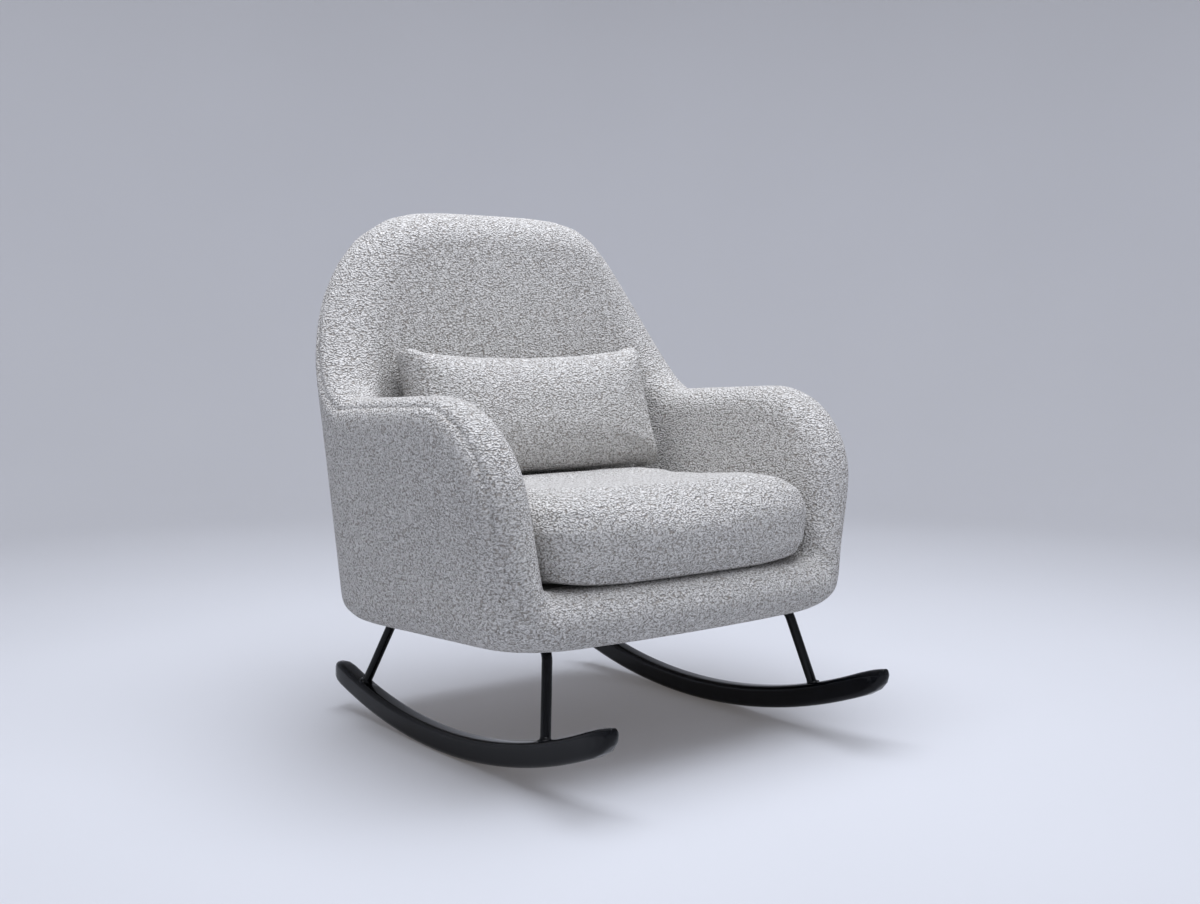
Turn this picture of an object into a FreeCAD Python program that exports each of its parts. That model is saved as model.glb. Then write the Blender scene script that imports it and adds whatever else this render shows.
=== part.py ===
import FreeCAD, Part
import math
import os
from FreeCAD import Vector

os.makedirs("parts", exist_ok=True)

# Upholstered tub rocking chair, in millimetres and degrees.
# The origin is on the floor under the middle of the chair, +Z is up and the sitter faces -Y.
# The upper part is drawn level, with Y counted from the point where the runners touch
# the floor, and then leans back on its base by seat_rake.

# Stance
seat_rake = 3.0
rake_pivot_z = 300.0

# Tub: arms and back
shell_half_width = 392.0
tub_base_z = 247.0
tub_base_inset = 30.0
arm_height = 572.0
arm_half_thickness = 46.0
arm_edge_flat = 0.5
arm_front_y = -313.0
arm_front_lean = 20.0
arm_corner_radius = 172.0
wing_start_y = 97.0
back_height = 903.0
back_top_y = 247.0
back_top_half_thickness = 66.0
back_base_y = 325.0
back_base_half_thickness = 88.0
back_corner_radius = 215.0
rim_squareness = 0.374
rim_rise = 1.8
back_thickening = 0.8
wing_steps = 12
hollow_first_slab = 3
hollow_slab_step = 3

# Seat border: the padded rail across the front and the rounded edge under the tub
border_bottom_z = 190.0
border_side_inset = 104.0
rail_top_z = 280.0
rail_front_y = -351.0
rail_rear_y = -243.0
rail_bow_angle = 6.4
border_front_corner = 95.0
border_steps = 4

# Seat frame and the panels that stand on it
board_thickness = 34.0
side_board_margin = 32.0
side_board_width = 115.0
front_board_front_y = -282.0
front_board_rear_y = -195.0
rear_board_front_y = 110.0
rear_board_rear_y = 250.0
rear_board_end_margin = 62.0
rear_board_chamfer = 62.0
corner_block_leg = 52.0
panel_thickness = 18.0
arm_panel_margin = 48.0
back_panel_half_width = 185.0
back_panel_margin = 62.0
back_panel_corner = 120.0
back_panel_set_in = 36.0
hollow_wall = 20.0
hollow_drop = 6.0
cleat_thickness = 22.0
cleat_height = 40.0
cleat_end_margin = 40.0

# Webbing, deck and dust cover
strap_width = 50.0
strap_thickness = 1.5
strap_landing = 22.0
straps_lengthwise = 5
straps_crosswise = 4
deck_side_clearance = 3.0
deck_corner_radius = 110.0
deck_cloth_thickness = 1.0
dust_cover_thickness = 1.0

# Base
runner_spacing = 554.0
runner_radius = 1120.0
runner_height = 38.0
runner_width = 32.0
runner_edge_radius = 9.0
runner_front_reach = 464.0
runner_rear_reach = 334.5
runner_nose_length = 52.0
runner_nose_lift = 24.0
runner_nose_drop = 7.0
runner_end_width = 10.0
runner_heel_radius = 15.0
rod_diameter = 16.0
rod_bend_radius = 32.0
rod_top_half_spacing = 248.0
rod_front_y = -268.0
rod_rear_y = 178.0
foot_front_reach = 308.0
foot_rear_reach = 232.0
foot_socket_depth = 18.0
plate_length = 60.0
plate_width = 50.0
plate_thickness = 4.0
plate_setback = 110.0
base_clearance = 4.0
rod_slot_clearance = 7.0

# Loose cushions
cushion_side_fill = 10.0
cushion_front_y = -347.0
cushion_rear_y = 136.0
cushion_thickness = 155.0
cushion_crown = 5.0
cushion_low_edge = 40.0
cushion_high_edge = 68.0
cushion_high_inset = 66.0
cushion_crown_inset = 205.0
cushion_bow_angle = 5.3
cushion_front_corner = 64.0
cushion_rear_corner = 132.0
cushion_core_inset = 42.0
cushion_core_drop = 26.0
cushion_wrap = 12.0
pillow_half_width = 248.0
pillow_half_height = 103.0
pillow_thickness = 112.0
pillow_draw_in = 0.045
pillow_corner_radius = 4.0
pillow_crest_half_height = 34.0
pillow_edge = 6.0
pillow_lean = 15.0
pillow_steps = 6
pillow_wrap = 20.0

# Chords that stand for the rounds of the padded outlines and the runner's edges
bow_pieces = 3
corner_pieces = 2
front_corner_pieces = 5
rear_corner_pieces = 7
runner_edge_pieces = 3

# Fits
layer_gap = 0.3
bore_clearance = 0.15
seat_gap = 0.4

contact_y = (runner_front_reach - runner_rear_reach) / 2
half_spacing = runner_spacing / 2
base_side_x = shell_half_width - tub_base_inset
side_board_outer = base_side_x - side_board_margin
side_board_inner = side_board_outer - side_board_width
rear_board_half_length = base_side_x - rear_board_end_margin
cushion_half_width = base_side_x - 2 * arm_half_thickness + cushion_side_fill
board_top_z = tub_base_z - layer_gap
board_bottom_z = board_top_z - board_thickness
rod_axis_z = board_bottom_z - plate_thickness - rod_diameter / 2
strap_top_z = board_top_z + 2 * strap_thickness
reach_all = 4 * shell_half_width
UP = Vector(0, 0, 1)
ACROSS = Vector(1, 0, 0)
ALONG = Vector(0, 1, 0)


def raked_point(point):
    turn = FreeCAD.Rotation(ACROSS, -seat_rake)
    return turn.multVec(point - UP * rake_pivot_z) + UP * rake_pivot_z + ALONG * contact_y


def raked(shape):
    """Lean the level upper part back and set it over the runners."""
    placed = shape.copy()
    placed.rotate(UP * rake_pivot_z, ACROSS, -seat_rake)
    placed.translate(ALONG * contact_y)
    return placed


def mirrored(shape):
    return shape.mirror(Vector(0, 0, 0), ACROSS)


def unit(vector):
    result = Vector(vector)
    result.normalize()
    return result


def line(first, last):
    return Part.LineSegment(first, last).toShape()


def arc(first, middle, last):
    return Part.Arc(first, middle, last).toShape()


def box(x0, x1, y0, y1, z0, z1):
    return Part.makeBox(x1 - x0, y1 - y0, z1 - z0, Vector(x0, y0, z0))


def below(z):
    return box(-reach_all, reach_all, -reach_all, reach_all, -reach_all, z)


def largest(shape):
    return max(shape.Solids, key=lambda solid: solid.Volume)


def bend(before, corner, after, radius):
    """Start, middle and end of the arc that rounds a corner."""
    inwards = unit(before - corner)
    onwards = unit(after - corner)
    half_turn = inwards.getAngle(onwards) / 2
    reach = radius / math.tan(half_turn)
    middle = corner + unit(inwards + onwards) * (radius / math.sin(half_turn) - radius)
    return corner + inwards * reach, middle, corner + onwards * reach


def rounded_wire(points, radii):
    """A closed outline of straight runs, rounded at the corners that have a radius."""
    rounds = []
    for number, corner in enumerate(points):
        if radii[number] > 0:
            after = points[(number + 1) % len(points)]
            rounds.append(bend(points[number - 1], corner, after, radii[number]))
        else:
            rounds.append((corner,))
    edges = []
    for number, turn in enumerate(rounds):
        if len(turn) > 1:
            edges.append(arc(*turn))
        edges.append(line(turn[-1], rounds[(number + 1) % len(rounds)][0]))
    return Part.Wire(edges)


def round_bar(points, radius, bend_radius):
    """A bar along straight runs and tangent bends."""
    edges = []
    start = points[0]
    for before, corner, after in zip(points, points[1:], points[2:]):
        first, middle, last = bend(before, corner, after, bend_radius)
        edges.append(line(start, first))
        edges.append(arc(first, middle, last))
        start = last
    edges.append(line(start, points[-1]))
    section = Part.Wire(Part.makeCircle(radius, points[0], points[1] - points[0]))
    return Part.Wire(edges).makePipeShell([section], True, False)


def closed_face(points):
    return Part.Face(Part.makePolygon(points + points[:1]))


def panelled(outlines):
    """A solid of flat panels between outlines whose sides run parallel."""
    faces = [closed_face(outlines[0]), closed_face(outlines[-1])]
    for lower, upper in zip(outlines, outlines[1:]):
        for number in range(len(lower)):
            after = (number + 1) % len(lower)
            faces.append(closed_face([lower[number], lower[after], upper[after], upper[number]]))
    shell = Part.Shell(faces)
    shell.sewShape()
    solid = Part.Solid(shell)
    if solid.Volume < 0:
        solid.reverse()
    return solid


def settle(shape, direction, support, gap):
    """Move a piece along a direction until its least distance to the support is the gap."""
    moved = shape.copy()
    spare = moved.distToShape(support)[0] - gap
    while spare > gap / 10:
        moved.translate(direction * spare)
        spare = moved.distToShape(support)[0] - gap
    return moved


def save(shape, node):
    shape.exportStep("parts/" + node + ".step")


# Arms: a leaning plate with a fully rounded edge along its front and top.

rim_half = arm_half_thickness
arm_line = Vector(shell_half_width - rim_half, 0, arm_height - rim_half)
arm_slope = Vector(-tub_base_inset, 0, tub_base_z - arm_line.z)
arm_down = unit(arm_slope)
arm_inwards = unit(-ACROSS - arm_down * -ACROSS.dot(arm_down))
skirt = rim_half / 3


def arm_point(y, depth, inwards):
    """A point in the leaning plane of the right arm, counted from its upper line."""
    return arm_line + ALONG * y + arm_down * depth + arm_inwards * inwards


def arm_plate(margin, half_thickness, rear_y):
    """The right arm's plate, drawn in by a margin from the arm's outline."""
    top = margin - rim_half
    bottom = arm_slope.Length + skirt
    corners = [arm_point(arm_front_y - arm_front_lean + margin, bottom, -half_thickness),
               arm_point(arm_front_y + margin, top, -half_thickness),
               arm_point(rear_y, top, -half_thickness),
               arm_point(rear_y, bottom, -half_thickness)]
    outline = rounded_wire(corners, [0, arm_corner_radius - margin, 0, 0])
    return Part.Face(outline).extrude(arm_inwards * (2 * half_thickness))


def arm_body(grow):
    """The right arm with its edge rounded, grown by a fit where it is used as a cutter."""
    half = rim_half + grow
    plate = arm_plate(-grow, half, wing_start_y)
    rounded = []
    for edge in plate.Edges:
        middle = edge.valueAt((edge.FirstParameter + edge.LastParameter) / 2) - arm_line
        on_face = abs(abs(middle.dot(arm_inwards)) - half) < bore_clearance
        if on_face and middle.dot(arm_down) < arm_slope.Length and middle.y < wing_start_y - layer_gap:
            rounded.append(edge)
    return largest(plate.makeFillet(half - arm_edge_flat / 2, rounded))


# Back: slabs with a rounded rim, standing on the base line and lofted from arm to arm.

back_line_z = back_height - back_top_half_thickness
base_straight = back_base_y - back_corner_radius - wing_start_y
base_quarter = back_corner_radius * math.pi / 2
base_back = base_side_x - back_corner_radius
base_path = base_straight + base_quarter + base_back


def back_rim(angle):
    """Middle of the rim's roll: out of the arm, up the shoulder and over the top."""
    rise = math.sin(angle)
    x = arm_line.x * max(math.cos(angle), 0.0) ** rim_squareness
    y = wing_start_y + (back_top_y - wing_start_y) * rise
    return Vector(x, y, arm_line.z + (back_line_z - arm_line.z) * rise ** rim_rise)


def even_angles():
    """Angles that space the slabs evenly along the rim."""
    samples = 400
    shares = [number / samples for number in range(samples + 1)]
    angles = [math.pi / 2 * (1 - (1 - share) ** (1 / rim_squareness)) for share in shares]
    lengths = [0.0]
    for before, after in zip(angles, angles[1:]):
        lengths.append(lengths[-1] + (back_rim(after) - back_rim(before)).Length)
    chosen = [angles[0]]
    for step in range(1, wing_steps):
        target = lengths[-1] * step / wing_steps
        chosen.append(next(angle for angle, length in zip(angles, lengths) if length >= target))
    return chosen + [math.pi / 2]


def base_line(distance):
    """Outer point and inward direction on the base line behind the arm."""
    if distance < base_straight:
        return Vector(base_side_x, wing_start_y + distance, tub_base_z), -ACROSS
    if distance < base_straight + base_quarter:
        turn = (distance - base_straight) / back_corner_radius
        outwards = Vector(math.cos(turn), math.sin(turn), 0)
        centre = Vector(base_back, back_base_y - back_corner_radius, tub_base_z)
        return centre + outwards * back_corner_radius, -outwards
    past = distance - base_straight - base_quarter
    return Vector(base_back - past, back_base_y, tub_base_z), -ALONG


def back_frame(angle, side):
    """Middle of the rim, directions inwards and down, height and half thickness of a slab."""
    share = angle / (math.pi / 2)
    rim = back_rim(angle)
    turned = (share + 1 - rim.x / arm_line.x) / 2
    outer, inwards = base_line(base_path * turned)
    rim_now = rim_half + (back_top_half_thickness - rim_half) * share
    base_now = rim_half + (back_base_half_thickness - rim_half) * share ** back_thickening
    base = outer + inwards * base_now
    rim.x, base.x, inwards.x = side * rim.x, side * base.x, side * inwards.x
    height = (base - rim).Length
    down = unit(base - rim)
    across = unit(inwards - down * inwards.dot(down))
    foot = height + skirt
    return rim, across, down, foot, rim_now, rim_now + (base_now - rim_now) * foot / height


def back_slab(angle, side):
    rim, across, down, foot, rim_now, foot_half = back_frame(angle, side)
    diagonal = rim_now * math.sqrt(0.5)

    def at(sideways, depth):
        return rim + across * sideways + down * depth

    return Part.Wire([
        line(at(-rim_now, 0), at(-foot_half, foot)),
        line(at(-foot_half, foot), at(foot_half, foot)),
        line(at(foot_half, foot), at(rim_now, 0)),
        arc(at(rim_now, 0), at(diagonal, -diagonal), at(0, -rim_now)),
        arc(at(0, -rim_now), at(-diagonal, -diagonal), at(-rim_now, 0)),
    ])


def back_body():
    angles = even_angles()
    slabs = [back_slab(angle, -1) for angle in angles[:-1]]
    slabs.extend(back_slab(angle, 1) for angle in reversed(angles))
    return Part.makeLoft(slabs, True, True)


def tub_body():
    arm = arm_body(0)
    return largest(back_body().fuse([arm, mirrored(arm)]).cut(below(tub_base_z)))


# Hollow of the back: open at the foot, between the outer padding and the panel's rear face.

panel_rear_depth = back_panel_set_in - panel_thickness / 2


def hollow_slab(angle, side):
    rim, across, down, foot, rim_now, foot_half = back_frame(angle, side)
    corners = [(hollow_wall - rim_now, hollow_drop), (hollow_wall - foot_half, foot),
               (panel_rear_depth, foot), (panel_rear_depth, hollow_drop)]
    return rounded_wire([rim + across * sideways + down * depth for sideways, depth in corners], [0] * 4)


def back_hollow():
    angles = even_angles()[hollow_first_slab::hollow_slab_step]
    slabs = [hollow_slab(angle, -1) for angle in angles[:-1]]
    slabs.extend(hollow_slab(angle, 1) for angle in reversed(angles))
    return Part.makeLoft(slabs, True, True)


# Panels inside the padding, one in each arm and one in the back, with a cleat at each foot.

back_foot_y = back_base_y - back_base_half_thickness
back_slope = math.degrees(math.atan2(back_top_y - back_foot_y, back_line_z - tub_base_z))


def arm_panel(grow):
    panel = arm_plate(arm_panel_margin - grow, panel_thickness / 2 + grow, wing_start_y + grow)
    return panel.cut(below(board_top_z))


def arm_cleat(grow):
    """A batten along the inner foot of the arm's panel."""
    bottom = arm_slope.Length + skirt
    top = arm_slope.Length - cleat_height - grow
    front = arm_front_y + arm_panel_margin + cleat_end_margin - grow
    rear = wing_start_y - cleat_end_margin + grow
    near = panel_thickness / 2
    corners = [arm_point(front, bottom, near), arm_point(front, top, near),
               arm_point(rear, top, near), arm_point(rear, bottom, near)]
    outline = Part.Face(rounded_wire(corners, [0, 0, 0, 0]))
    return outline.extrude(arm_inwards * (cleat_thickness + grow)).cut(below(board_top_z))


def back_panel(grow):
    half = back_panel_half_width + grow
    top = back_height - back_panel_margin + grow
    corner = back_panel_corner + grow
    outline = rounded_wire(
        [Vector(-half, 0, 0), Vector(half, 0, 0), Vector(half, 0, top), Vector(-half, 0, top)],
        [0, 0, corner, corner])
    panel = Part.Face(outline).extrude(ALONG * (panel_thickness + 2 * grow))
    panel.translate(ALONG * (back_foot_y - back_panel_set_in - panel_thickness / 2 - grow))
    panel.rotate(Vector(0, back_foot_y, tub_base_z), ACROSS, -back_slope)
    return panel.cut(below(board_top_z))


def back_cleat(grow):
    """A batten along the front foot of the back panel."""
    half = back_panel_half_width - cleat_end_margin + grow
    near = back_foot_y - back_panel_set_in - panel_thickness / 2
    batten = box(-half, half, near - cleat_thickness - grow, near,
                 0, tub_base_z + cleat_height + grow)
    batten.rotate(Vector(0, back_foot_y, tub_base_z), ACROSS, -back_slope)
    return batten.cut(below(board_top_z))


# Seat border: level outlines, drawn in towards the bottom, with a round rail in front.

rail_half = (rail_top_z - border_bottom_z) / 2
rail_middle_z = border_bottom_z + rail_half


def around(centre, radius, first, last, pieces):
    """Points on a level arc, counted in radians from the X axis."""
    points = []
    for step in range(pieces + 1):
        turn = first + (last - first) * step / pieces
        points.append(centre + Vector(math.cos(turn), math.sin(turn), 0) * radius)
    return points


def seat_outline(half, front, rear, bow_angle, front_radius, rear_radius, z):
    """A level outline with a bowed front, straight sides and back, and round corners."""
    quarter = math.pi / 2
    bow = math.radians(bow_angle)
    bow_radius = front_radius + (half - front_radius) / math.sin(bow)
    bow_centre = Vector(0, front + bow_radius, z)
    front_corner = bow_centre + Vector(math.sin(bow), -math.cos(bow), 0) * (bow_radius - front_radius)
    rear_corner = Vector(half - rear_radius, rear - rear_radius, z)
    right = around(bow_centre, bow_radius, -quarter, bow - quarter, bow_pieces)
    right += around(front_corner, front_radius, bow - quarter, 0, front_corner_pieces)[1:]
    right += around(rear_corner, rear_radius, 0, quarter, rear_corner_pieces)
    left = [Vector(-point.x, point.y, z) for point in reversed(right[1:])]
    return right + left


def border_form():
    """Quarter rounds below the tub, and a half round over the front rail."""
    outlines = []
    for step in range(2 * border_steps + 1):
        turn = math.pi / 2 * (step / border_steps - 1)
        front_inset = rail_half * (1 - math.cos(turn))
        low = 1 - math.cos(min(turn, 0.0))
        side_inset = (border_side_inset - tub_base_inset) * low
        outlines.append(seat_outline(
            base_side_x - side_inset, rail_front_y + front_inset, back_base_y - side_inset, rail_bow_angle,
            border_front_corner, back_corner_radius - side_inset,
            rail_middle_z + rail_half * math.sin(turn)))
    return panelled(outlines)


def rear_board(grow):
    half = rear_board_half_length + grow
    front = rear_board_front_y - grow
    rear = rear_board_rear_y + grow
    low = board_bottom_z - grow
    short = half - rear_board_chamfer
    shoulder = rear - rear_board_chamfer
    points = [Vector(-half, front, low), Vector(half, front, low), Vector(half, shoulder, low),
              Vector(short, rear, low), Vector(-short, rear, low), Vector(-half, shoulder, low)]
    return closed_face(points).extrude(UP * (board_thickness + 2 * grow))


plate_ys = (rod_front_y + plate_setback, rod_rear_y - plate_setback)
recess_half_width = rod_top_half_spacing + plate_width / 2 + base_clearance
recess_front_y = plate_ys[0] - plate_length / 2 - base_clearance
recess_rear_y = plate_ys[1] + plate_length / 2 + base_clearance


def border_body():
    """The border wraps the frame boards and leaves the arms, the rods and the underside free."""
    arm = arm_body(layer_gap).cut(below(board_top_z))
    above = box(-reach_all, reach_all, rail_rear_y, reach_all, board_top_z, reach_all)
    boards = box(-side_board_outer - layer_gap, side_board_outer + layer_gap,
                 front_board_front_y - layer_gap, rear_board_front_y + layer_gap,
                 board_bottom_z - layer_gap, board_top_z + layer_gap)
    recess = box(-recess_half_width, recess_half_width, recess_front_y, recess_rear_y,
                 -reach_all, board_bottom_z)
    rod_room = rod_diameter / 2 + rod_slot_clearance
    slot = box(rod_top_half_spacing - rod_room, rod_top_half_spacing + rod_room,
               rod_front_y - rod_room, rod_rear_y + rod_room, -reach_all, board_bottom_z)
    cutters = [above, boards, rear_board(layer_gap), recess, slot, mirrored(slot), arm, mirrored(arm)]
    return largest(border_form().cut(cutters))


# Cushions: a crowned box cushion, and a knife-edged pillow with drawn-in sides.

cushion_bottom_z = rail_top_z + seat_gap
cushion_top_z = cushion_bottom_z + cushion_thickness
cushion_turns = (0, 35, 65)


def cushion_outline(inset, z):
    return seat_outline(
        cushion_half_width - inset, cushion_front_y + inset, cushion_rear_y - inset, cushion_bow_angle,
        max(cushion_front_corner - inset / 3, cushion_front_corner / 2),
        max(cushion_rear_corner - inset / 3, cushion_rear_corner / 2), z)


def cushion_body():
    """Round lower edge, fuller upper edge and a crown on top."""
    outlines = []
    for degrees in (90,) + cushion_turns[:0:-1]:
        turn = math.radians(degrees)
        inset = cushion_low_edge * (1 - math.cos(turn))
        outlines.append(cushion_outline(inset, cushion_bottom_z + cushion_low_edge * (1 - math.sin(turn))))
    for degrees in cushion_turns + (90,):
        turn = math.radians(degrees)
        inset = cushion_high_inset * (1 - math.cos(turn))
        outlines.append(cushion_outline(inset, cushion_top_z - cushion_high_edge * (1 - math.sin(turn))))
    outlines.append(cushion_outline(cushion_crown_inset, cushion_top_z + cushion_crown))
    return panelled(outlines)


def cushion_core(grow):
    """A plain foam block inside the wrap of the cushion."""
    low = cushion_bottom_z + cushion_wrap - grow
    high = cushion_top_z - cushion_core_drop + grow
    return closed_face(cushion_outline(cushion_core_inset - grow, low)).extrude(UP * (high - low))


def pillow_outline(inset, depth):
    """An outline in the pillow's plane: drawn-in top and sides, and a straight foot."""
    steep = math.atan(1.5 * pillow_draw_in)
    radius = pillow_corner_radius + inset / 3
    turn = radius * (math.cos(steep) + math.sin(steep))
    half = pillow_half_width - inset
    tall = pillow_half_height - inset
    side = (tall + pillow_draw_in * half - turn * (1 + pillow_draw_in)) / (1 - pillow_draw_in ** 2)
    top = half + pillow_draw_in * side - turn
    corner = Vector(top + radius * math.sin(steep), 0, side + radius * math.sin(steep))
    quarter = [Vector(0, depth, tall), Vector(top / 2, depth, tall + top * pillow_draw_in / 4)]
    for point in reversed(around(Vector(0, 0, 0), radius, -steep, math.pi / 2 + steep, corner_pieces)):
        quarter.append(Vector(corner.x + point.x, depth, corner.z + point.y))
    quarter.append(Vector(half + side * pillow_draw_in / 4, depth, side / 2))
    lower = [Vector(point.x, depth, -point.z) for point in reversed(quarter[2:])]
    foot_z = -tall - top * pillow_draw_in
    right = quarter + [Vector(half, depth, 0)] + lower + [Vector(0, depth, foot_z)]
    left = [Vector(-point.x, depth, point.z) for point in reversed(right[1:-1])]
    return right + left


def pillow_body():
    """Outlines through the pillow's thickness, from one face over the knife edge to the other."""
    outlines = []
    full = pillow_thickness / 2 - pillow_edge / 2
    for step in range(pillow_steps):
        turn = math.pi / 2 * (1 - step / pillow_steps)
        inset = (pillow_half_height - pillow_crest_half_height) * (1 - math.cos(turn))
        outlines.append(pillow_outline(inset, pillow_edge / 2 + full * math.sin(turn)))
    outlines.append(pillow_outline(0, pillow_edge / 2))
    other = [[Vector(point.x, -point.y, point.z) for point in outline] for outline in reversed(outlines)]
    return panelled(outlines + other)


def pillow_filling(grow):
    """A roll of filling along the middle of the pillow, inside its quilted cover."""
    half_length = pillow_half_width - pillow_half_height + pillow_wrap + grow
    tall = pillow_half_height - 2 * pillow_wrap + grow
    thick = pillow_thickness / 2 - pillow_wrap + grow
    low = Vector(-half_length, 0, -tall)
    high = Vector(-half_length, 0, tall)
    section = Part.Wire([arc(low, Vector(-half_length, thick, 0), high),
                         arc(high, Vector(-half_length, -thick, 0), low)])
    return Part.Face(section).extrude(ACROSS * (2 * half_length))


# Base: runners, bent rods and the plates that carry the seat frame.

def runner_point(angle, radius):
    along, up = radius * math.sin(angle), radius * math.cos(angle)
    return Vector(half_spacing, contact_y + along, runner_radius - up)


def runner_section(low_angle, low_radius, high_angle, high_radius, turn):
    """A rounded section across the runner, narrower as its end turns round in plan."""
    half = runner_width / 2 - (runner_width - runner_end_width) / 2 * (1 - math.cos(turn))
    low = runner_point(low_angle, low_radius)
    high = runner_point(high_angle, high_radius)
    round_now = min(runner_edge_radius, (low - high).Length / 2 - layer_gap, half - layer_gap)
    corners = [low - ACROSS * half, low + ACROSS * half, high + ACROSS * half, high - ACROSS * half]
    points = []
    for number, corner in enumerate(corners):
        first, middle, last = bend(corners[number - 1], corner, corners[(number + 1) % 4], round_now)
        centre = first + last - corner
        for step in range(runner_edge_pieces + 1):
            turn = math.pi / 2 * step / runner_edge_pieces
            points.append(centre + (first - centre) * math.cos(turn) + (last - centre) * math.sin(turn))
    return Part.makePolygon(points + points[:1])


runner_top_radius = runner_radius - runner_height
runner_tip_angle = -math.asin(runner_front_reach / runner_top_radius)
runner_nose_angle = runner_tip_angle + runner_nose_length / runner_radius
runner_end_turns = [math.radians(degrees) for degrees in (0, 28, 52, 72, 88)]


def runner_nose():
    """The rolling face sweeps up to the tip, the top dips a little and the sides close in."""
    sections = []
    for turn in runner_end_turns:
        angle = runner_nose_angle - math.sin(turn) * runner_nose_length / runner_radius
        low = runner_radius - runner_nose_lift * (1 - math.cos(turn))
        high = runner_top_radius + runner_nose_drop * math.sin(turn) ** 2
        sections.append(runner_section(angle, low, angle, high, turn))
    return Part.makeLoft(sections, True, True)


def heel_angle(radius, share):
    start = runner_rear_reach - 2 * runner_heel_radius
    straight = math.asin(runner_rear_reach / radius)
    radial = math.asin(start / runner_radius)
    return radial + (straight - radial) * share


def runner_heel():
    """The heel turns to an upright end, with its upper edge and its sides rounded."""
    sections = []
    for turn in runner_end_turns:
        high = runner_top_radius + runner_heel_radius * (1 - math.cos(turn))
        share = math.sin(turn)
        sections.append(runner_section(heel_angle(runner_radius, share), runner_radius,
                                       heel_angle(high, share), high, turn))
    return Part.makeLoft(sections, True, True)


def runner_body():
    """The right runner: concentric arcs between the nose and the heel."""
    first = runner_section(runner_nose_angle, runner_radius, runner_nose_angle, runner_top_radius, 0)
    sweep = math.degrees(heel_angle(runner_radius, 0) - runner_nose_angle)
    middle = Part.Face(first).revolve(Vector(0, contact_y, runner_radius), ACROSS, sweep)
    return largest(middle.fuse([runner_nose(), runner_heel()]))


def foot_point(reach):
    return runner_point(math.asin(reach / runner_top_radius), runner_top_radius)


rod_corners = [raked_point(Vector(rod_top_half_spacing, y, rod_axis_z)) for y in (rod_front_y, rod_rear_y)]
rod_feet = [foot_point(-foot_front_reach), foot_point(foot_rear_reach)]
foot_axes = [unit(corner - foot) for corner, foot in zip(rod_corners, rod_feet)]
rod_ends = [foot - axis * foot_socket_depth for foot, axis in zip(rod_feet, foot_axes)]


def side_rod():
    path = [rod_ends[0], rod_corners[0], rod_corners[1], rod_ends[1]]
    return round_bar(path, rod_diameter / 2, rod_bend_radius)


def socketed(runner):
    """Sockets in the top of the runner for the feet of the rod."""
    sockets = [Part.makeCylinder(rod_diameter / 2 + bore_clearance, 2 * foot_socket_depth, end, axis)
               for end, axis in zip(rod_ends, foot_axes)]
    return runner.cut(sockets)


def mounting_plate(x, y, grow):
    return box(x - plate_width / 2 - grow, x + plate_width / 2 + grow,
               y - plate_length / 2 - grow, y + plate_length / 2 + grow,
               board_bottom_z - plate_thickness, board_bottom_z)


# Base, from the floor up.

runner = socketed(runner_body())
save(runner, "runner_right")
save(mirrored(runner), "runner_left")
rod = side_rod()
save(rod, "side_rod_right")
save(mirrored(rod), "side_rod_left")
plate_places = [(side * rod_top_half_spacing, y) for side in (-1, 1) for y in plate_ys]
save(raked(Part.makeCompound([mounting_plate(x, y, 0) for x, y in plate_places])), "mounting_plates")

# Seat frame.

side_board = box(side_board_inner, side_board_outer, front_board_front_y, rear_board_front_y,
                 board_bottom_z, board_top_z)
save(raked(side_board), "side_board_right")
save(raked(mirrored(side_board)), "side_board_left")
front_board = box(-side_board_inner, side_board_inner, front_board_front_y, front_board_rear_y,
                  board_bottom_z, board_top_z)
save(raked(front_board), "front_board")
save(raked(rear_board(0)), "rear_board")
blocks = []
for y, leg in ((front_board_rear_y, corner_block_leg), (rear_board_front_y, -corner_block_leg)):
    corner = Vector(side_board_inner, y, board_bottom_z)
    points = [corner, corner - ACROSS * corner_block_leg, corner + ALONG * leg]
    blocks.append(closed_face(points).extrude(UP * board_thickness))
blocks += [mirrored(block) for block in blocks]
save(raked(Part.makeCompound(blocks)), "corner_blocks")

# Panels and cleats inside the tub.

save(raked(arm_panel(0)), "arm_panel_right")
save(raked(mirrored(arm_panel(0))), "arm_panel_left")
save(raked(arm_cleat(0)), "arm_cleat_right")
save(raked(mirrored(arm_cleat(0))), "arm_cleat_left")
save(raked(back_panel(0)), "back_panel")
save(raked(back_cleat(0)), "back_cleat")

# Webbing across the frame's opening.

opening_length = rear_board_front_y - front_board_rear_y
lengthwise = []
for number in range(straps_lengthwise):
    x = 2 * side_board_inner * ((number + 0.5) / straps_lengthwise - 0.5)
    lengthwise.append(box(x - strap_width / 2, x + strap_width / 2, front_board_rear_y - strap_landing,
                          rear_board_front_y + strap_landing, board_top_z, board_top_z + strap_thickness))
save(raked(Part.makeCompound(lengthwise)), "webbing_lengthwise")
crosswise = []
for number in range(straps_crosswise):
    y = front_board_rear_y + opening_length * (number + 0.5) / straps_crosswise
    crosswise.append(box(-side_board_inner - strap_landing, side_board_inner + strap_landing,
                         y - strap_width / 2, y + strap_width / 2,
                         board_top_z + strap_thickness, strap_top_z))
save(raked(Part.makeCompound(crosswise)), "webbing_crosswise")

# Padding of the tub and the border.

tub = tub_body()
hollows = [arm_panel(layer_gap), arm_cleat(layer_gap)]
hollows += [mirrored(hollow) for hollow in hollows]
hollows += [back_panel(layer_gap), back_cleat(layer_gap), back_hollow()]
save(raked(largest(tub.cut(hollows))), "tub_padding")
save(raked(border_body()), "border_padding")

# Deck under the seat cushion, and the dust cover below the boards.

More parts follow.
